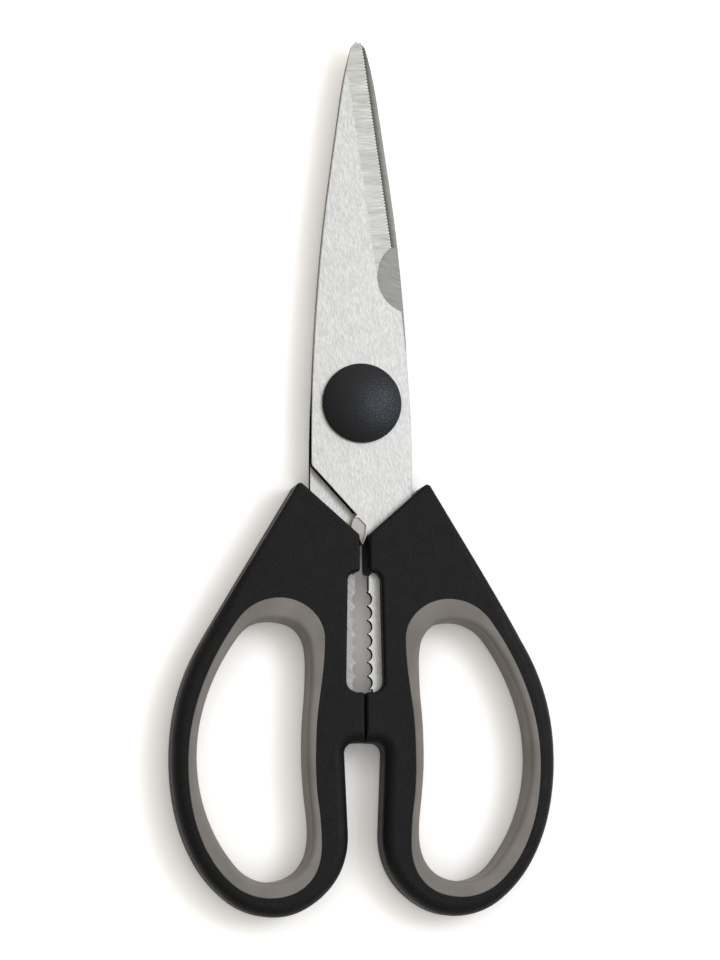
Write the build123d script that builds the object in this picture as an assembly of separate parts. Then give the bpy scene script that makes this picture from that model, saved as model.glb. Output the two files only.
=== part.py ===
from build123d import *
import math
import os

# Kitchen shears, lying flat and closed. Sizes are in millimetres. The origin is on the
# pivot axis, on the surface that the shears lie on. +Y runs to the blade tips, +Z is up,
# and +X is the side of the front blade's handle.

# Whole tool
handle_thickness = 12.0
pivot_to_tip = 94.6
shear_height = handle_thickness / 2
overrun = 20.0

# Blades: both are the same blank, the back one turned over
blade_thickness = 2.5
blade_gap = 0.1
blade_half_width = 12.9
shoulder_drop = 16.0
shoulder_radius = 1.6
heel_drop = 30.1
lug_length = 2.2
neck_point = 2.6
neck_point_offset = 1.3
neck_turn_degrees = 6.3
tip_offset = 0.7
tip_turn_degrees = 17.2
tip_edge_offset = 1.1
tip_edge_drop = 0.7
edge_end_height = 40.9
edge_end_offset = 8.4
notch_low_height = 23.9
notch_low_offset = 10.5
notch_depth_offset = 4.35
bevel_width = 5.3
edge_land = 0.45
tooth_pitch = 0.5
tooth_depth = 0.2
edge_break = 0.18
lug_start_offset = 1.4
lug_bow = 0.45
lug_offset = 2.75
lug_clearance = 0.25
lug_step = 0.45
step_start_offset = 0.85
step_turn_offset = 0.95
step_turn_drop = 1.0
step_low_offset = 0.75
step_low_drop = 3.3
# Spine points from shoulder to tip, as shares of blade_half_width and pivot_to_tip
spine_shares = ((0.985, 0.02), (0.89, 0.262), (0.722, 0.502), (0.464, 0.757), (0.146, 0.985))

# Tangs, jaw plates and the holes that lock them in the handles
tang_width = 5.9
tang_reach = 7.6
tang_cover = 1.9
tang_shoulder_drop = 39.0
tang_taper = 10.0
lock_hole_radius = 2.4
lock_hole_drop = 37.5
lock_hole_offset = 8.2
small_lock_radius = 1.3
jaw_tip_offset = 1.35
jaw_valley_depth = 1.05
jaw_tip_bulge = 0.2
jaw_tip_land = 0.4
jaw_pitch = 3.53
jaw_lead = 4.6

# Handles: the outline's inner side, towards the other handle
apex_offset = 16.5
apex_drop = 20.3
apex_radius = 1.0
throat_length = 3.7
slot_half_width = 1.2
slot_length = 7.2
jaw_length = 30.2
jaw_half_width = 4.25
jaw_spread = 0.6
jaw_corner_radius = 2.9
jaw_top_round_share = 0.97
slit_half_width = 0.15
slit_length = 11.8
lip_radius = 0.85
crotch_radius = 2.6
crotch_slope = 0.9
leg_gap_half_width = 4.3
leg_lean = 0.95
edge_round = 0.8
loop_round = 2.9
flank_spread_degrees = 3.1
seam_round = 0.3

# Finger loops: the hole, and the walls round it
hole_width = 28.9
hole_length = 65.2
hole_top_drop = 55.3
grip_top_wall = 5.5
grip_bottom_wall = 3.9
grip_outer_wall = 2.3
grip_inner_wall = 3.25
grip_round = 1.4
rib_height = 3.2
rib_depth = 0.9
rim_bottom = 4.7
rim_outer = 3.9

# Outlines of the loops, clockwise from the top. Each point is where the curve runs along
# or across the tool: its shares of the outline's width and length, the way the curve runs
# there, and how far the curve keeps to that line before and after it, as shares.
hole_point_shares = (
    ((0.34, 0.0), (1, 0), (0.70, 0.48)),
    ((1.0, 0.525), (0, -1), (0.47, 0.51)),
    ((0.37, 1.0), (-1, 0), (0.50, 0.65)),
    ((0.0, 0.816), (0, 1), (0.61, 0.24)),
    ((0.048, 0.517), (0, 1), (0.42, 0.57)),
    ((0.012, 0.164), (0, 1), (0.52, 0.70)),
)
grip_point_shares = (
    ((0.33, 0.0), (1, 0), (0.54, 0.46)),
    ((1.0, 0.552), (0, -1), (0.47, 0.55)),
    ((0.403, 1.0), (-1, 0), (0.60, 0.62)),
    ((0.03, 0.827), (0, 1), (0.61, 0.54)),
    ((0.07, 0.552), (0, 1), (0.57, 0.60)),
    ((0.0, 0.137), (0, 1), (0.45, 0.54)),
)
# Outside of the loop, from the end of the straight flank to the leg, as shares of the width
# and the length of the soft grip
flank_low_shares = (0.8763, 0.1366)
widest_share = 0.5386
bottom_share = 0.3663
leg_low_share = 0.786
outside_bend_shares = ((0.40, 0.33), (0.55, 0.58), (0.36, 0.66))

# Pivot: shoulder screw, spring washer, round nut and the two snap-on caps
screw_shoulder_radius = 3.5
running_clearance = 0.04
screw_head_radius = 5.0
screw_slot_width = 1.1
screw_slot_depth = 0.7
screw_thread_radius = 2.4
washer_radius = 5.2
washer_thickness = 0.35
washer_rise = 0.25
washer_clearance = 0.05
nut_radius = 5.4
nut_slot_width = 1.2
nut_slot_depth = 0.8
cap_radius = 10.15
cap_height = 3.3
cap_wall = 0.9
cap_rim_height = 0.7
cap_rim_step = 0.28
cap_edge_height = 1.3
cap_collar_wall = 0.9
cap_clearance = 0.1
cap_play = 0.55
back_cap_round = 1.1

# Heights of the stack at the pivot
front_blade_base = shear_height + blade_gap / 2
front_blade_top = front_blade_base + blade_thickness
back_blade_base = shear_height - blade_gap / 2 - blade_thickness
front_cap_base = front_blade_top + cap_clearance
front_cap_top = front_cap_base + cap_height
washer_base = front_blade_top + washer_clearance
screw_head_base = washer_base + washer_rise + washer_thickness
screw_head_height = front_cap_top - cap_wall - cap_play - screw_head_base
nut_height = back_blade_base - cap_wall - cap_play
nut_base = back_blade_base - nut_height

# Sizes that follow from the jaw plates and from the lining
tang_left = jaw_tip_offset + jaw_valley_depth
tang_right = tang_left + tang_width
corner_drop = heel_drop + throat_length
neck_tip_drop = corner_drop + lug_length
jaw_top_drop = neck_tip_drop + slot_length
jaw_bottom_drop = jaw_top_drop + jaw_length
jaw_teeth = int((jaw_length - jaw_lead) / jaw_pitch)
jaw_top_radius = jaw_top_round_share * (jaw_half_width - slot_half_width - lip_radius)
tang_drop = jaw_bottom_drop + tang_reach
crotch_drop = jaw_bottom_drop + slit_length
grip_left = tang_right + tang_cover
hole_left = grip_left + grip_inner_wall
grip_width = grip_inner_wall + hole_width + grip_outer_wall
grip_length = grip_top_wall + hole_length + grip_bottom_wall
grip_top_drop = hole_top_drop - grip_top_wall
handle_half_width = grip_left + grip_width + rim_outer
handle_reach = grip_top_drop + grip_length + rim_bottom


def slab(outline, base, height):
    """A flat plate with the given closed outline."""
    return Pos(0, 0, base) * extrude(make_face(outline), amount=height)


def upright(radius, base, height):
    """A round bar on the pivot axis, from the given base up."""
    return Pos(0, 0, base + height / 2) * Cylinder(radius, height)


def two_arcs(start, way, end, end_way):
    """Two circular arcs that join smoothly and leave and arrive along the given ways."""
    span = end - start
    along = span.dot(way + end_way)
    turn = 2 * (1 - way.dot(end_way))
    if turn > 0:
        reach = (-along + math.sqrt(along**2 + turn * span.dot(span))) / turn
    else:
        reach = span.dot(span) / (2 * along)
    leave = start + way * reach
    arrive = end - end_way * reach
    middle = (leave + arrive) / 2
    return [
        TangentArc(start, middle, tangent=way),
        TangentArc(middle, end, tangent=(arrive - leave).normalized()),
    ]


def bend(start, start_way, end, end_way, shares):
    """A smooth run of arcs that leaves and arrives along the given ways."""
    span = end - start
    reach_out = abs(start_way.X * span.X) + abs(start_way.Y * span.Y)
    reach_in = abs(end_way.X * span.X) + abs(end_way.Y * span.Y)
    guide = Bezier(
        start, start + start_way * reach_out * shares[0], end - end_way * reach_in * shares[1], end
    )
    half_way = guide @ 0.5
    half_turn = guide % 0.5
    first_half = two_arcs(start, start_way, half_way, half_turn)
    second_half = two_arcs(half_way, half_turn, end, end_way)
    return first_half + second_half


def loop_outline(point_shares, left, top, width, length):
    """A smooth closed curve in the box that starts at left and top, as a list of bends."""
    bends = []
    following = point_shares[1:] + point_shares[:1]
    for (place, way, shares), (next_place, next_way, next_shares) in zip(point_shares, following):
        start = Vector(left + place[0] * width, -top - place[1] * length)
        end = Vector(left + next_place[0] * width, -top - next_place[1] * length)
        bends += bend(start, Vector(*way), end, Vector(*next_way), (shares[1], next_shares[0]))
    return bends


def cutting_edge(toothed):
    """The straight cutting edge from tip to bone notch, with fine saw teeth if wanted."""
    start = Vector(tip_edge_offset, pivot_to_tip - tip_edge_drop)
    end = Vector(edge_end_offset, edge_end_height)
    if not toothed:
        return Polyline(start, end)
    along = (end - start).normalized()
    inward = Vector(along.Y, -along.X)
    if inward.X > 0:
        inward = -inward
    count = int((end - start).length / tooth_pitch)
    pitch = (end - start).length / count
    points = [start]
    for tooth in range(count):
        valley = start + along * (tooth + 1 / 2) * pitch
        points.append(valley + inward * tooth_depth)
        points.append(start + along * (tooth + 1) * pitch)
    return Polyline(*points)


def scalloped_edge(low, high):
    """The wavy row of scallops along a jaw plate, from its low end up to its lead-in."""
    point = low
    scallops = []
    for tooth in range(jaw_teeth):
        valley = point + Vector(jaw_valley_depth - jaw_tip_bulge, (jaw_pitch - jaw_tip_land) / 2)
        tip_start = point + Vector(0, jaw_pitch - jaw_tip_land)
        tip = point + Vector(-jaw_tip_bulge, jaw_pitch - jaw_tip_land / 2)
        next_valley = point + Vector(0, jaw_pitch)
        scallops += [ThreePointArc(point, valley, tip_start), ThreePointArc(tip_start, tip, next_valley)]
        point = next_valley
    return scallops + [Line(point, high)]


def throat_side(offset):
    """The point at this offset on the slanted side of the neck, below the shoulder."""
    slope = (heel_drop - shoulder_drop) / blade_half_width
    return Vector(-offset, slope * offset - heel_drop)


def lug_drop(offset):
    """How far down the lug reaches at this offset, clear of the other handle's edge."""
    slope = (corner_drop - apex_drop) / (apex_offset - slot_half_width)
    return corner_drop - slope * (offset - slot_half_width) - lug_clearance * math.hypot(1, slope)


def throat_step():
    """The low step over the lug of the neck, which stops the blade at the other handle."""
    start = throat_side(step_start_offset)
    outline = Polyline(
        start,
        (step_turn_offset, -heel_drop - step_turn_drop),
        (step_low_offset, -heel_drop - step_low_drop),
        (-edge_break, -neck_tip_drop - edge_break),
        (-overrun, -neck_tip_drop - edge_break),
        (-overrun, start.Y),
        close=True,
    )
    return slab(outline, front_blade_top - lug_step, overrun)


def blade_outline(toothed):
    """The blade and its tang as one closed wire, spine towards -X."""
    spine = [(-across * blade_half_width, up * pivot_to_tip) for across, up in spine_shares]
    shoulder = Vector(-blade_half_width, -shoulder_drop)
    tip_way = Vector(0, 1).rotate(Axis.Z, -tip_turn_degrees)
    neck_way = Vector(0, -1).rotate(Axis.Z, neck_turn_degrees)
    spine_curve = Spline(shoulder, *spine, tangents=[(0, 1), tip_way])
    edge = cutting_edge(toothed)
    tip = Vector(-tip_offset, pivot_to_tip)
    tip_curve = Polyline(spine_curve @ 1, tip, edge @ 0)
    notch = ThreePointArc(
        edge @ 1,
        (notch_depth_offset, (edge_end_height + notch_low_height) / 2),
        (notch_low_offset, notch_low_height),
    )
    side = Spline(notch @ 1, (blade_half_width, -shoulder_drop), tangents=[neck_way, (0, -1)])
    lug_inner = slot_half_width - lug_clearance
    row_left = jaw_tip_offset + jaw_tip_bulge
    row_bottom = Vector(row_left, -jaw_top_drop - jaw_lead - jaw_teeth * jaw_pitch)
    row_top = Vector(row_left, -jaw_top_drop - lip_radius)
    outer_tang = Polyline(
        side @ 1,
        (blade_half_width, -tang_shoulder_drop),
        (tang_right, -tang_shoulder_drop - tang_taper),
        (tang_right, -tang_drop),
        (tang_left, -tang_drop),
        (tang_left, row_bottom.Y),
        row_bottom,
    )
    inner_tang = Polyline(
        row_top,
        (row_left + lip_radius, -jaw_top_drop),
        (row_left + lip_radius, -neck_tip_drop + neck_point - lip_radius),
        (neck_point_offset, -neck_tip_drop + neck_point),
        (0, -neck_tip_drop),
        (-lug_inner, -lug_drop(lug_inner)),
        (-lug_offset, -lug_drop(lug_offset)),
    )
    lug_top = throat_side(lug_start_offset)
    lug_middle = (lug_top + inner_tang @ 1) / 2 - Vector(lug_bow, 0)
    lug_side = [ThreePointArc(inner_tang @ 1, lug_middle, lug_top), Line(lug_top, shoulder)]
    scallops = scalloped_edge(row_bottom, row_top)
    return [spine_curve, tip_curve, edge, notch, side, outer_tang, *scallops, inner_tang, *lug_side]


def cutting_bevel():
    """The wedge that the wheel takes off above the cutting edge."""
    start = Vector(tip_edge_offset, pivot_to_tip - tip_edge_drop)
    end = Vector(edge_end_offset, edge_end_height)
    along = (start - end).normalized()
    edge_plane = Plane(
        origin=(end.X, end.Y, front_blade_base),
        x_dir=(along.Y, -along.X, 0),
        z_dir=(-along.X, -along.Y, 0),
    )
    depth = blade_thickness
    slope = (blade_thickness - edge_land) / bevel_width
    wedge = Polyline(
        (-bevel_width, depth),
        (overrun, depth - slope * (overrun + bevel_width)),
        (overrun, depth + overrun),
        (-bevel_width, depth + overrun),
        close=True,
    )
    half_notch = (edge_end_height - notch_low_height) / 2
    face = edge_plane * make_face(wedge)
    reach = (start - end).length + overrun
    return extrude(face, amount=-reach) + extrude(face, amount=half_notch)


def blade(toothed):
    """A ground blade with its tang, bored for the pivot, in the front blade's place."""
    plate = slab(blade_outline(toothed), front_blade_base, blade_thickness)
    shoulder = plate.edges().filter_by(Axis.Z).sort_by_distance(
        (-blade_half_width, -shoulder_drop, front_blade_base)
    )[0]
    plate = fillet(shoulder, shoulder_radius)
    top_edges = plate.faces().sort_by(Axis.Z)[-1].edges()
    blade_edges = top_edges.filter_by(lambda edge: edge.center().Y > throat_side(lug_start_offset).Y)
    rims = blade_edges.filter_by(lambda edge: edge.length > 2 * tooth_pitch)
    plate = chamfer(rims, edge_break)
    plate -= cutting_bevel()
    large_hole = upright(lock_hole_radius, front_blade_base - overrun, blade_thickness + 2 * overrun)
    small_hole = upright(small_lock_radius, front_blade_base - overrun, blade_thickness + 2 * overrun)
    plate -= Pos(lock_hole_offset, -lock_hole_drop) * large_hole
    plate -= Pos(tang_left + tang_width / 2, tang_width / 2 - tang_drop) * small_hole
    return plate - throat_step()


def turned_over(shape):
    """The same shape on the other half, turned over about the tool's long axis."""
    return Pos(0, 0, shear_height) * Rot(0, 180, 0) * Pos(0, 0, -shear_height) * shape


def flank():
    """The ends of the handle's straight outer side, from the apex to the loop."""
    low_x = grip_left + flank_low_shares[0] * grip_width
    low_y = -grip_top_drop - flank_low_shares[1] * grip_length
    return Vector(apex_offset, -apex_drop), Vector(low_x, low_y)


def handle_core():
    """The handle's solid with every inner edge, larger than the loop outside."""
    apex, flank_low = flank()
    down = (flank_low - apex).normalized()
    far = apex + down * ((handle_half_width + overrun - apex_offset) / down.X)
    low = far.Y - handle_reach
    corners = [
        (apex, apex_radius),
        (far, 0),
        (Vector(far.X, low), 0),
        (Vector(slit_half_width, low), 0),
        (Vector(slit_half_width, -jaw_bottom_drop), lip_radius),
        (Vector(jaw_half_width + jaw_spread, -jaw_bottom_drop), jaw_corner_radius),
        (Vector(jaw_half_width, -jaw_top_drop), jaw_top_radius),
        (Vector(slot_half_width, -jaw_top_drop), lip_radius),
        (Vector(slot_half_width, -corner_drop), lip_radius),
    ]
    face = make_face(Polyline(*[point for point, radius in corners], close=True)).face()
    for point, radius in corners:
        if radius:
            near = face.vertices().sort_by_distance((point.X, point.Y, 0))[0]
            face = face.fillet_2d(radius, [near])
    core = extrude(face, amount=handle_thickness)
    flats = core.faces().filter_by(Axis.Z)
    return core.fillet(edge_round, flats.edges())


def loop_shell():
    """The well rounded outside of the loop, larger than the handle near the apex."""
    apex, flank_low = flank()
    down = (flank_low - apex).normalized()
    spread = Vector(down).rotate(Axis.Z, -flank_spread_degrees)
    flank_top = flank_low - spread * ((flank_low - apex).length + overrun)
    widest = Vector(handle_half_width, -grip_top_drop - widest_share * grip_length)
    bottom = Vector(grip_left + bottom_share * grip_width, -handle_reach)
    leg_low = Vector(leg_gap_half_width, -grip_top_drop - leg_low_share * grip_length)
    corner = Vector(leg_gap_half_width + leg_lean, -crotch_drop - crotch_slope)
    up_leg = (corner - leg_low).normalized()
    outline = [
        Line(flank_top, flank_low),
        *bend(flank_low, down, widest, Vector(0, -1), outside_bend_shares[0]),
        *bend(widest, Vector(0, -1), bottom, Vector(-1, 0), outside_bend_shares[1]),
        *bend(bottom, Vector(-1, 0), leg_low, up_leg, outside_bend_shares[2]),
        Polyline(leg_low, corner, (-overrun, -crotch_drop), (-overrun, flank_top.Y), flank_top),
    ]
    face = make_face(outline).face()
    near = face.vertices().sort_by_distance((corner.X, corner.Y, 0))[0]
    face = face.fillet_2d(crotch_radius, [near])
    shell = extrude(face, amount=handle_thickness)
    flats = shell.faces().filter_by(Axis.Z)
    return shell.fillet(loop_round, flats.edges())


def grip_outline():
    """Where the soft lining meets the handle."""
    return loop_outline(grip_point_shares, grip_left, grip_top_drop, grip_width, grip_length)


def soft_grip():
    """The rubber lining of a finger loop, with the rib that locks it in the handle."""
    inside = loop_outline(hole_point_shares, hole_left, hole_top_drop, hole_width, hole_length)
    lining_face = make_face(grip_outline()) - make_face(inside)
    lining = extrude(lining_face, amount=handle_thickness)
    flats = lining.faces().filter_by(Axis.Z)
    lining = lining.fillet(seam_round, [edge for face in flats for edge in face.outer_wire().edges()])
    flats = lining.faces().filter_by(Axis.Z)
    rims = [edge for face in flats for wire in face.inner_wires() for edge in wire.edges()]
    lining = lining.fillet(grip_round, rims)
    rib_face = offset(make_face(grip_outline()), amount=rib_depth) - make_face(inside)
    rib = Pos(0, 0, shear_height - rib_height / 2) * extrude(rib_face, amount=rib_height)
    return lining + rib


def handle(blade_piece, grip_piece):
    """The handle moulded round a tang and round the outside of a soft grip."""
    window = slab(grip_outline(), -overrun, handle_thickness + 2 * overrun)
    body = (handle_core() & loop_shell()) - window
    body -= blade_piece
    return body - grip_piece


def pivot_screw():
    """Shoulder screw with a slotted round head, held in the back blade."""
    head = upright(screw_head_radius, screw_head_base, screw_head_height)
    head = chamfer(head.edges().sort_by(Axis.Z)[-1], screw_slot_depth / 2)
    shoulder = upright(screw_shoulder_radius, back_blade_base, screw_head_base - back_blade_base)
    thread = upright(screw_thread_radius, nut_base, nut_height)
    slot = Box(2 * screw_head_radius + overrun, screw_slot_width, 2 * screw_slot_depth)
    return head + shoulder + thread - Pos(0, 0, screw_head_base + screw_head_height) * slot


def spring_washer():
    """Conical spring washer between the screw head and the front blade."""
    bore = screw_shoulder_radius + running_clearance
    section = Polyline(
        (bore, washer_base + washer_rise),
        (washer_radius, washer_base),
        (washer_radius, washer_base + washer_thickness),
        (bore, screw_head_base),
        close=True,
    )
    return revolve(Plane.XZ * make_face(section), axis=Axis.Z)


def pivot_nut():
    """Round nut with two spanner slots, under the back blade."""
    ring = upright(nut_radius, nut_base, nut_height) - upright(screw_thread_radius, nut_base, nut_height)
    slots = Box(2 * nut_radius + overrun, nut_slot_width, 2 * nut_slot_depth)
    return ring - Pos(0, 0, nut_base) * slots


def domed(radius, base, arch, arch_centre):
    """A round bar on the pivot axis under a dome whose arch is centred at the given height."""
    edge = arch_centre + math.sqrt(arch**2 - radius**2)
    middle = Vector(radius / 2, arch_centre + math.sqrt(arch**2 - (radius / 2) ** 2))
    top = Vector(0, arch_centre + arch)
    section = [
        Polyline(top, (0, base), (radius, base), (radius, edge)),
        ThreePointArc((radius, edge), middle, top),
    ]
    return revolve(Plane.XZ * make_face(section), axis=Axis.Z)


def front_cap():
    """Domed plastic cap that snaps over the screw head."""
    dome_radius = cap_radius - cap_rim_step
    dome_base = front_cap_base + cap_edge_height
    sag = front_cap_top - dome_base
    arch = (dome_radius**2 + sag**2) / (2 * sag)
    cap = domed(dome_radius, front_cap_base, arch, front_cap_top - arch)
    cap += upright(cap_radius, front_cap_base, cap_rim_height)
    hollow = domed(dome_radius - cap_wall, front_cap_base - overrun, arch - cap_wall, front_cap_top - arch)
    collar_bore = washer_radius + cap_clearance
    collar = upright(collar_bore + cap_collar_wall, front_cap_base, cap_height)
    collar -= upright(collar_bore, front_cap_base, cap_height)
    bead = upright(collar_bore, screw_head_base, screw_head_height / 2)
    bead -= upright(screw_head_radius, screw_head_base, screw_head_height / 2)
    return (cap - hollow) + ((collar + bead) & cap)


def back_cap():
    """Flat plastic cap that snaps over the nut. The shears rest on it."""
    pocket_height = back_blade_base - cap_wall
    cap = upright(cap_radius, 0, back_blade_base)
    cap = fillet(cap.edges().sort_by(Axis.Z)[0], back_cap_round)
    cap -= upright(cap_radius - cap_wall, cap_wall, pocket_height)
    collar = upright(nut_radius + cap_collar_wall, cap_wall, pocket_height)
    collar -= upright(nut_radius, cap_wall, pocket_height)
    return cap + collar


def pivot_bore(clearance):
    """The round hole through a blade for the screw's shoulder."""
    return upright(screw_shoulder_radius + clearance, back_blade_base, front_blade_top - back_blade_base)


front_blade = blade(toothed=True)
plain_blade = blade(toothed=False)
back_blade = turned_over(plain_blade)
right_grip = soft_grip()
left_grip = turned_over(right_grip)
right_handle = handle(front_blade, right_grip)
left_handle = turned_over(handle(plain_blade, right_grip))

nodes = {
    "front_blade": front_blade - pivot_bore(running_clearance),
    "back_blade": back_blade - pivot_bore(0),
    "right_handle": right_handle,
    "left_handle": left_handle,
    "right_soft_grip": right_grip,
    "left_soft_grip": left_grip,
    "pivot_screw": pivot_screw(),
    "spring_washer": spring_washer(),
    "pivot_nut": pivot_nut(),
    "front_cap": front_cap(),
    "back_cap": back_cap(),
}

os.makedirs("parts", exist_ok=True)
for name, shape in nodes.items():
    export_step(shape, f"parts/{name}.step")
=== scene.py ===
import bpy
import math
from mathutils import Matrix, Vector


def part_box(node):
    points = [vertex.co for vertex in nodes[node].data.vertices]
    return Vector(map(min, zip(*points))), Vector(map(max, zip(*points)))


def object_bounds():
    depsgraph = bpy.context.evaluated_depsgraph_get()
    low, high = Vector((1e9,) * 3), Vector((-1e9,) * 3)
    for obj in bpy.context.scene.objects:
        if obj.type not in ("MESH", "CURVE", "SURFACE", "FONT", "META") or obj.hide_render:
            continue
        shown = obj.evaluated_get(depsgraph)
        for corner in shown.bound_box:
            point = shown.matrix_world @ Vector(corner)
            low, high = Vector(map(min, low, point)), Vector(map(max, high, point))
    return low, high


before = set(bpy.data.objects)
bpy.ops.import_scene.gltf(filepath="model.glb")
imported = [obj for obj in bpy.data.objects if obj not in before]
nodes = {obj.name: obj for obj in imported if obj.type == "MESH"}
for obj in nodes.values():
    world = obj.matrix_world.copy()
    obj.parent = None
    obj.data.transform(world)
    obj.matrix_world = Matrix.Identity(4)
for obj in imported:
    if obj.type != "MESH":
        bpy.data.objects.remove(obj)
cad_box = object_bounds()


# Blades
# Two blanks stamped from stainless sheet and ground, the front one upright and the back one
# turned over. The wheel ran slantwise over the flats and across the bevels and inner faces, and
# the stamped walls carry painted shade. One finish follows a blade's own millimetres over both.

# Through the thickness: where the outer faces part from the inner ones, and the lug's step
mid_height = (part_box("front_blade")[0].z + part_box("back_blade")[1].z) / 2 * 1000
blade_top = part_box("front_blade")[1].z * 1000
inner_face_depth = 0.15
parting_height = mid_height + inner_face_depth
lug_step = 0.2

# The cutting edge, from its lower corner to the chamfered tip
tip_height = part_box("front_blade")[1].y * 1000
tip_chamfer = 0.7
edge_low = Vector((8.4, 40.9))
edge_high = Vector((1.1, tip_height - tip_chamfer))
edge_run = (edge_high - edge_low).normalized()
edge_inward = Vector((-edge_run.y, edge_run.x))
turned_over = Vector((-1, 1))

# The bevel and its ragged border. The edge's teeth are really about 0.4 mm apart, too fine to
# show, so they are drawn twice as far apart, as painted highlights on the points and painted shade between.
bevel_width = 5.3
bevel_below_edge = 8.6
border_comb = 1.1
tooth_pitch = 0.8
serration_width = 0.4

# The inner face, and how wide the painted shade is along the line where the closed edge lies
inner_ground_above = 14.0
shade_line_start = 0.2
shade_line_width = 1.4

# Where the neck and the jaw plate begin, going down from the pivot
neck_top = -28.0
jaw_top = -40.0

# A face less level than this counts as a stamped wall, whose painted shade goes from dark to pale up the
# blade
wall_slope = 0.4
wall_dark_below = -2.0
wall_pale_above = 14.0

# The part of a pattern's values over which a finish goes from dark to light
soft_range = (0.3, 0.7)
crisp_range = (0.35, 0.65)
full_range = (0.0, 1.0)


def linear(code):
    """The linear colour of an sRGB hex code."""
    levels = [int(code[place:place + 2], 16) / 255 for place in (1, 3, 5)]
    colour = [level / 12.92 if level <= 0.04045 else ((level + 0.055) / 1.055) ** 2.4 for level in levels]
    return colour + [1]


def add(tree, kind, inputs=None, **settings):
    """Adds a shader node with its settings, and sets or links its inputs. Returns its outputs."""
    node = tree.nodes.new("ShaderNode" + kind)
    for name, value in settings.items():
        setattr(node, name, value)
    for socket, value in (inputs or {}).items():
        if isinstance(value, bpy.types.NodeSocket):
            tree.links.new(value, node.inputs[socket])
        else:
            node.inputs[socket].default_value = value
    return node.outputs


def new_material(name):
    """An empty node material and its tree."""
    material = bpy.data.materials.new(name)
    material.use_nodes = True
    material.node_tree.nodes.clear()
    return material, material.node_tree


def millimetres(tree, location=(0, 0, 0), scale=(1000, 1000, 1000)):
    """The object's own coordinates in millimetres."""
    place = add(tree, "TexCoord")["Object"]
    return add(tree, "Mapping", {"Vector": place, "Location": location, "Scale": scale})[0]


def distance(tree, place, corner, direction):
    """How far each point lies from a corner of the blade, measured in one direction."""
    offset = add(tree, "VectorMath", {0: place, 1: corner.to_3d()}, operation="SUBTRACT")[0]
    return add(tree, "VectorMath", {0: offset, 1: direction.to_3d()}, operation="DOT_PRODUCT")["Value"]


def grain(tree, place, degrees, width, length, detail=2.0):
    """Noise drawn out into marks of this width and length in millimetres, turned from +Y."""
    turned = add(tree, "Mapping", {
        "Vector": place, "Rotation": (0, 0, math.radians(degrees)), "Scale": (width, length, length),
    }, vector_type="TEXTURE")[0]
    return add(tree, "TexNoise", {"Vector": turned, "Scale": 1.0, "Detail": detail, "Roughness": 0.6})["Fac"]


def region(tree, *tests):
    """A mask that is 1 where every value is GREATER or LESS than its limit, and 0 elsewhere."""
    mask = 1.0
    for value, way, limit in tests:
        passed = add(tree, "Math", {0: value, 1: limit}, operation=way + "_THAN")[0]
        mask = add(tree, "Math", {0: mask, 1: passed}, operation="MULTIPLY")[0]
    return mask


def shaded(tree, pattern, value_range, dark, light):
    """A colour that goes from dark to light as a pattern goes through a range of values."""
    low, high = value_range
    share = add(tree, "MapRange", {"Value": pattern, "From Min": low, "From Max": high})[0]
    inputs = {"Factor": share, "A": linear(dark), "B": linear(light)}
    return add(tree, "Mix", inputs, data_type="RGBA")["Result"]


def layered(tree, ground, *layers, blend="MIX"):
    """A colour or height with others laid over it in turn, each as far as its mask says."""
    for mask, layer in layers:
        inputs = {"Factor": mask, "A": ground, "B": layer}
        ground = add(tree, "Mix", inputs, data_type="RGBA", blend_type=blend)["Result"]
    return ground


def on_blade(tree, side):
    """What a blade's finish follows: the places on it, its two sides, its neck and its edge."""
    place = millimetres(tree, (0, 0, mid_height * (1 - side)), (side * 1000, 1000, side * 1000))
    axes = add(tree, "SeparateXYZ", {0: place})
    return {
        "place": place,
        "height": axes["Z"],
        "station": axes["Y"],
        "outer": (axes["Z"], "GREATER", parting_height),
        "inner": (axes["Z"], "LESS", parting_height),
        "under_neck_top": (axes["Y"], "LESS", neck_top),
        "over_jaw_top": (axes["Y"], "GREATER", jaw_top),
        "edge_depth": distance(tree, place, edge_low, edge_inward),
        "edge_reach": distance(tree, place, edge_low, edge_run),
    }


# The grit's own marks are under 0.1 mm wide, too fine to show, so each ground face draws wider ones
def flats(tree, blade):
    """The flats are pale, with short slanting marks and faint clouds. Gives colour and marks."""
    marks = grain(tree, blade["place"], degrees=14, width=0.17, length=1.3, detail=1.0)
    clouds = grain(tree, blade["place"], degrees=20, width=2.6, length=7.0)
    colour = layered(
        tree, shaded(tree, marks, soft_range, "#b4b6b4", "#d4d5d3"),
        (1.0, shaded(tree, clouds, crisp_range, "#fafbfb", "#ffffff")), blend="MULTIPLY",
    )
    return colour, marks


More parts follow.
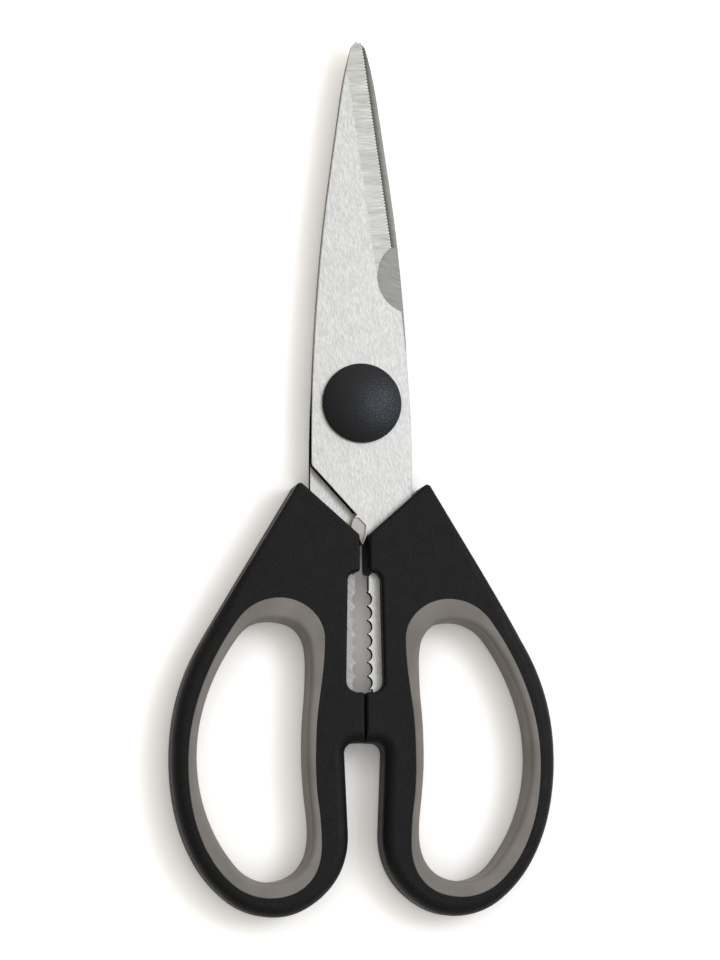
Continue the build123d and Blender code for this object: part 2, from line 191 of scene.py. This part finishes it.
def bevel(tree, blade):
    """The bevel has cross marks in bands, a ragged border, and teeth drawn as painted highlight and shade.
    """
    marks = grain(tree, blade["place"], degrees=-81, width=0.16, length=4.0)
    bands = grain(tree, blade["place"], degrees=-82, width=0.9, length=30.0, detail=3.0)
    colour = layered(
        tree, shaded(tree, marks, soft_range, "#a6a7a3", "#cacbc7"),
        (1.0, shaded(tree, bands, crisp_range, "#e2e3e1", "#ffffff")), blend="MULTIPLY",
    )
    half_pitch = tooth_pitch / 2
    # The teeth: painted highlights on their points and painted shade between them
    tooth = add(tree, "Math", {0: blade["edge_reach"], 1: half_pitch}, operation="PINGPONG")[0]
    tooth_highlight_and_shade = shaded(tree, tooth, (0.0, half_pitch), "#e2e3e0", "#5a5a57")
    along_edge = (blade["edge_reach"], "GREATER", 0.0)
    teeth = region(tree, (blade["edge_depth"], "LESS", serration_width), along_edge, blade["outer"])

    border_marks = grain(tree, blade["place"], degrees=-81, width=0.22, length=3.0, detail=1.0)
    inputs = {0: border_marks, 1: border_comb, 2: blade["edge_depth"]}
    combed_depth = add(tree, "Math", inputs, operation="MULTIPLY_ADD")[0]
    within_border = (combed_depth, "LESS", bevel_width + border_comb / 2)
    mask = region(tree, within_border, (blade["edge_reach"], "GREATER", -bevel_below_edge), blade["outer"])
    return mask, layered(tree, colour, (teeth, tooth_highlight_and_shade)), marks


def inner_face(tree, blade):
    """The inner face is greyer, with painted shade along the line where the other edge rests when closed."""
    marks = grain(tree, blade["place"], degrees=-68, width=0.2, length=6.0)
    # Painted shade beside the line where the other blade's edge lies when closed
    from_line = distance(tree, blade["place"], edge_low * turned_over, edge_inward * turned_over)
    from_line = add(tree, "Math", {0: from_line}, operation="ABSOLUTE")[0]
    outside_painted_shade = add(tree, "MapRange", {"Value": from_line, "From Min": shade_line_start, "From Max": shade_line_width})[0]
    under_edge = region(tree, (blade["station"], "LESS", edge_low.y))
    outside_painted_shade = add(tree, "Math", {0: outside_painted_shade, 1: under_edge}, operation="MAXIMUM")[0]
    colour = layered(
        tree, shaded(tree, marks, soft_range, "#7d7e7a", "#999a95"),
        (1.0, shaded(tree, outside_painted_shade, full_range, "#9c9c9a", "#ffffff")), blend="MULTIPLY",
    )
    mask = region(tree, (blade["station"], "GREATER", inner_ground_above), blade["inner"])
    return mask, colour, marks


def jaw_plate(tree, blade, dark, light):
    """The jaw plate's inner face has short slanting marks, in the grey that it is given."""
    marks = grain(tree, blade["place"], degrees=-48, width=0.2, length=1.8)
    mask = region(tree, (blade["station"], "LESS", jaw_top), blade["inner"])
    return mask, shaded(tree, marks, crisp_range, dark, light), marks


def stepped_lug(tree, blade):
    """The lug at the neck is pressed down a little and left an even grey."""
    below_top = (blade["height"], "LESS", blade_top - lug_step)
    mask = region(tree, below_top, blade["outer"], blade["under_neck_top"], blade["over_jaw_top"])
    return mask, linear("#a8a6a3")


def stamped_walls_in_painted_shade(tree, blade):
    """Painted shade on the stamped walls: nearly black below the pivot, greyer above it, pale at the neck.
    """
    facing = add(tree, "SeparateXYZ", {0: add(tree, "NewGeometry")["True Normal"]})["Z"]
    levelness = add(tree, "Math", {0: facing}, operation="ABSOLUTE")[0]
    mask = region(tree, (levelness, "LESS", wall_slope))
    neck = region(tree, blade["under_neck_top"], blade["over_jaw_top"])
    colour = shaded(tree, blade["station"], (wall_dark_below, wall_pale_above), "#131211", "#918d87")
    return mask, layered(tree, colour, (neck, linear("#b4b2ad")))


def ground_stainless(name, side, jaw_dark, jaw_light):
    """Ground 420 stainless, dull and pale, with the wheel's marks, and with painted shade and no gleam on
    the walls.
    """
    material, tree = new_material(name)
    blade = on_blade(tree, side)
    flat_colour, flat_marks = flats(tree, blade)
    faces = (bevel(tree, blade), inner_face(tree, blade), jaw_plate(tree, blade, jaw_dark, jaw_light))
    walls = stamped_walls_in_painted_shade(tree, blade)
    face_colours = [(mask, colour) for mask, colour, marks in faces]
    colour = layered(tree, flat_colour, *face_colours, stepped_lug(tree, blade), walls)
    relief = layered(tree, flat_marks, *[(mask, marks) for mask, colour, marks in faces])
    bump = add(tree, "Bump", {"Height": relief, "Strength": 0.12, "Distance": 0.00003})[0]
    metal = add(tree, "Math", {0: 1.0, 1: walls[0]}, operation="SUBTRACT")[0]
    shader = add(tree, "BsdfPrincipled", {
        "Base Color": colour, "Metallic": metal, "Roughness": 0.5, "Specular IOR Level": 0.0,
        "Normal": bump,
    })
    add(tree, "OutputMaterial", {"Surface": shader[0]})
    return material


def dress(node, material):
    """Gives a node of the model its finish."""
    slots = nodes[node].data.materials
    slots.clear()
    slots.append(material)


dress("front_blade", ground_stainless("ground_stainless_front", 1, "#bdb9ae", "#cac6bb"))
dress("back_blade", ground_stainless("ground_stainless_back", -1, "#8f8f8e", "#b3b3b2"))


# Handles
# Glass-filled polypropylene, moulded over each tang and over the outside of each soft lining.
# The mould was spark-eroded, which makes the black dull and grainy. The real grain of 0.1 to
# 0.2 mm is too fine to show, so its dots are drawn larger.
handle_dot = 0.42
handle_dot_depth = 0.06
dot_range = (0.1, 0.6)
dots_to_patch = 9
patch_dulling = 0.1


def moulded_black(name, dark, light, gleam, shine, roughness, dot, depth):
    """Black plastic from a spark-eroded mould: dots of a size in millimetres, and a patchy gloss."""
    material, tree = new_material(name)
    place = millimetres(tree)
    dots = add(tree, "TexVoronoi", {"Vector": place, "Scale": 1 / dot}, feature="SMOOTH_F1")["Distance"]
    patch = dot * dots_to_patch
    patches = add(tree, "TexNoise", {"Vector": place, "Scale": 1 / patch, "Detail": 4.0})["Fac"]
    dulling = add(tree, "MapRange", {
        "Value": patches, "From Min": soft_range[0], "From Max": soft_range[1],
        "To Min": roughness, "To Max": roughness + patch_dulling,
    })[0]
    bump = add(tree, "Bump", {"Height": dots, "Strength": 1.0, "Distance": depth / 1000})[0]
    shader = add(tree, "BsdfPrincipled", {
        "Base Color": shaded(tree, dots, dot_range, dark, light), "Roughness": dulling,
        "Specular IOR Level": shine, "Specular Tint": linear(gleam), "Normal": bump,
    })
    add(tree, "OutputMaterial", {"Surface": shader[0]})
    return material


handle_plastic = moulded_black(
    "moulded_polypropylene", dark="#050506", light="#161617", gleam="#ffffff",
    shine=0.16, roughness=0.5, dot=handle_dot, depth=handle_dot_depth,
)
dress("right_handle", handle_plastic)
dress("left_handle", handle_plastic)


# Soft grips
# Thermoplastic rubber, moulded inside each finger loop and held there by a hidden rib. It has
# a dead matt skin that picks up a little dust, with a warm grey colour.
skin_dot = 0.42
dust_patch = 9.1


def moulded_rubber(name):
    """Warm grey thermoplastic rubber, dull all over, with a pale bloom where it turns away."""
    material, tree = new_material(name)
    place = millimetres(tree)
    skin = add(tree, "TexNoise", {"Vector": place, "Scale": 1 / skin_dot, "Detail": 3.0})["Fac"]
    dust = add(tree, "TexNoise", {"Vector": place, "Scale": 1 / dust_patch, "Detail": 2.0})["Fac"]
    bump = add(tree, "Bump", {"Height": skin, "Strength": 0.12, "Distance": 0.00008})[0]
    shader = add(tree, "BsdfPrincipled", {
        "Base Color": shaded(tree, dust, crisp_range, "#75726e", "#807d79"),
        "Roughness": 0.75, "Specular IOR Level": 0.3, "Normal": bump,
        "Sheen Weight": 0.4, "Sheen Roughness": 0.5, "Sheen Tint": linear("#b9b2ab"),
    })
    add(tree, "OutputMaterial", {"Surface": shader[0]})
    return material


grip_rubber = moulded_rubber("moulded_thermoplastic_rubber")
dress("right_soft_grip", grip_rubber)
dress("left_soft_grip", grip_rubber)


# Pivot
# A turned shoulder screw, a pressed spring washer and a round nut, all zinc-plated steel. The
# caps hide them, and the lathe's rings show when the caps are off.
ring_pitch = 0.2

# A wave texture of scale 1 repeats after this length
wave_length = math.pi / 10


def turned_steel(name):
    """Zinc-plated turned steel, with the rings that the tool left round the axis."""
    material, tree = new_material(name)
    place = millimetres(tree)
    rings = add(tree, "TexWave", {
        "Vector": place, "Scale": wave_length / ring_pitch, "Distortion": 0.4, "Detail": 1.0,
    }, wave_type="RINGS", rings_direction="Z")["Fac"]
    bump = add(tree, "Bump", {"Height": rings, "Strength": 0.2, "Distance": 0.00002})[0]
    shader = add(tree, "BsdfPrincipled", {
        "Base Color": shaded(tree, rings, full_range, "#bcbcb8", "#d2d2cf"),
        "Metallic": 1.0, "Roughness": 0.32, "Normal": bump,
    })
    add(tree, "OutputMaterial", {"Surface": shader[0]})
    return material


pivot_steel = turned_steel("turned_zinc_plated_steel")
for part in ("pivot_screw", "spring_washer", "pivot_nut"):
    dress(part, pivot_steel)


# Pivot caps
# Moulded acetal discs that snap over the screw head and the nut, the front one domed. Their
# spark grain is deeper than the handles' and glossier, so the dome has a cool, speckled gleam.
cap_dot = 0.3
cap_dot_depth = 0.09
cap_plastic = moulded_black(
    "moulded_acetal", dark="#020304", light="#07090c", gleam="#e8eef7",
    shine=0.4, roughness=0.28, dot=cap_dot, depth=cap_dot_depth,
)
dress("front_cap", cap_plastic)
dress("back_cap", cap_plastic)


# Table
# A plain white table top that keeps the soft shadows. Its paint glows a little to the eye, and
# less close to the tool, which sets how dark the shadows look. From below it is clear.
table_radius = 3.0
table_drop = 0.00005
gap_reach = 0.010
shadow_lift = 0.42


def white_table(name):
    """White paint that glows a little to the camera and in reflections, but lights the tool plainly."""
    material, tree = new_material(name)
    rays = add(tree, "LightPath")
    seen = add(tree, "Math", {0: rays["Is Camera Ray"], 1: rays["Is Glossy Ray"]}, operation="MAXIMUM")[0]
    seen = add(tree, "Math", {0: seen, 1: rays["Is Transmission Ray"]}, operation="MAXIMUM")[0]
    paint = add(tree, "BsdfDiffuse", {"Color": linear("#f6f6f4")})[0]
    open_sky = add(tree, "AmbientOcclusion", {"Distance": gap_reach}, samples=8)["AO"]
    lift = add(tree, "Math", {0: open_sky, 1: shadow_lift}, operation="MULTIPLY")[0]
    glow = add(tree, "Emission", {"Color": linear("#ffffff"), "Strength": lift})[0]
    lifted = add(tree, "AddShader", {0: paint, 1: glow})[0]
    top = add(tree, "MixShader", {0: seen, 1: paint, 2: lifted})[0]
    underneath = add(tree, "NewGeometry")["Backfacing"]
    clear = add(tree, "BsdfTransparent")[0]
    shown = add(tree, "MixShader", {0: underneath, 1: top, 2: clear})[0]
    add(tree, "OutputMaterial", {"Surface": shown})
    return material


table_mesh = bpy.data.meshes.new("table")
table_mesh.from_pydata(
    [(x * table_radius, y * table_radius, 0) for x, y in ((-1, -1), (1, -1), (1, 1), (-1, 1))],
    [], [(0, 1, 2, 3)],
)
table = bpy.data.objects.new("table", table_mesh)
bpy.context.scene.collection.objects.link(table)
table.location.z = cad_box[0].z - table_drop
table_mesh.materials.append(white_table("white_table_top"))


# Light
# A white light tent, brightest at the upper right, which evens out the shadows and gives the
# plastic its gradients, and a soft key from the right that throws the tan shadows to the left.
bright_side = Vector((0.5, 0.4, 0.77)).normalized()
dim_until = 0.15
bright_from = 0.92
tent_dark = 0.36
tent_bright = 1.12
key_place = Vector((0.58, 0.16, 0.92))
key_target = Vector((0, -0.02, 0))
key_size = 0.4
key_watts = 3.6

world = bpy.data.worlds.new("light_tent")
bpy.context.scene.world = world
world.use_nodes = True
tent = world.node_tree
tent.nodes.clear()
tent_rays = add(tent, "LightPath")
direction = add(tent, "TexCoord")["Generated"]
towards_bright = add(tent, "VectorMath", {0: direction, 1: bright_side}, operation="DOT_PRODUCT")["Value"]
level = add(tent, "MapRange", {
    "Value": towards_bright, "From Min": dim_until, "From Max": bright_from,
    "To Min": tent_dark, "To Max": tent_bright,
}, interpolation_type="SMOOTHSTEP")[0]
tent_light = add(tent, "Background", {"Color": linear("#fff8f0"), "Strength": level})[0]
tent_white = add(tent, "Background", {"Color": linear("#ffffff"), "Strength": 1.0})[0]
tent_shown = add(tent, "MixShader", {0: tent_rays["Is Camera Ray"], 1: tent_light, 2: tent_white})[0]
add(tent, "OutputWorld", {"Surface": tent_shown})

key = bpy.data.lights.new("right_panel", "AREA")
key.shape = "RECTANGLE"
key.size = key_size
key.size_y = key_size
key.energy = key_watts
key.color = linear("#e6f0ff")[:3]
key_lamp = bpy.data.objects.new("right_panel", key)
bpy.context.scene.collection.objects.link(key_lamp)
key_lamp.location = key_place
key_lamp.rotation_euler = (key_target - key_place).to_track_quat("-Z", "Y").to_euler()


# Camera
# It stands over the tool, a little to the left and below the pivot, as in the photograph. Its
# roll, in radians, is under a degree, and its aim is shifted by under a millimetre.
camera_distance = 0.7777
camera_aim = Vector((0.00010, -0.01885, 0.006))
view_slant = Vector((0.1728, 0.1253, -1.0))
camera_roll = 0.0148
view_height = 0.24384
aim_shift = (-0.00020, -0.00043)

look = view_slant.normalized()
level_up = Vector((0, 1, view_slant.y)).normalized()
level_right = look.cross(level_up)
right = level_right * math.cos(camera_roll) + level_up * math.sin(camera_roll)
up = level_up * math.cos(camera_roll) - level_right * math.sin(camera_roll)
stand = camera_aim - look * camera_distance + right * aim_shift[0] + up * aim_shift[1]
camera_data = bpy.data.cameras.new("camera")
camera_data.sensor_fit = "VERTICAL"
camera_data.sensor_height = 24
camera_data.lens = camera_data.sensor_height * camera_distance / view_height
camera_data.clip_start = 0.01
camera_data.clip_end = 20
camera = bpy.data.objects.new("camera", camera_data)
bpy.context.scene.collection.objects.link(camera)
camera.matrix_world = Matrix.Translation(stand) @ Matrix((right, up, -look)).transposed().to_4x4()
bpy.context.scene.camera = camera
bpy.context.scene.view_settings.view_transform = "Standard"
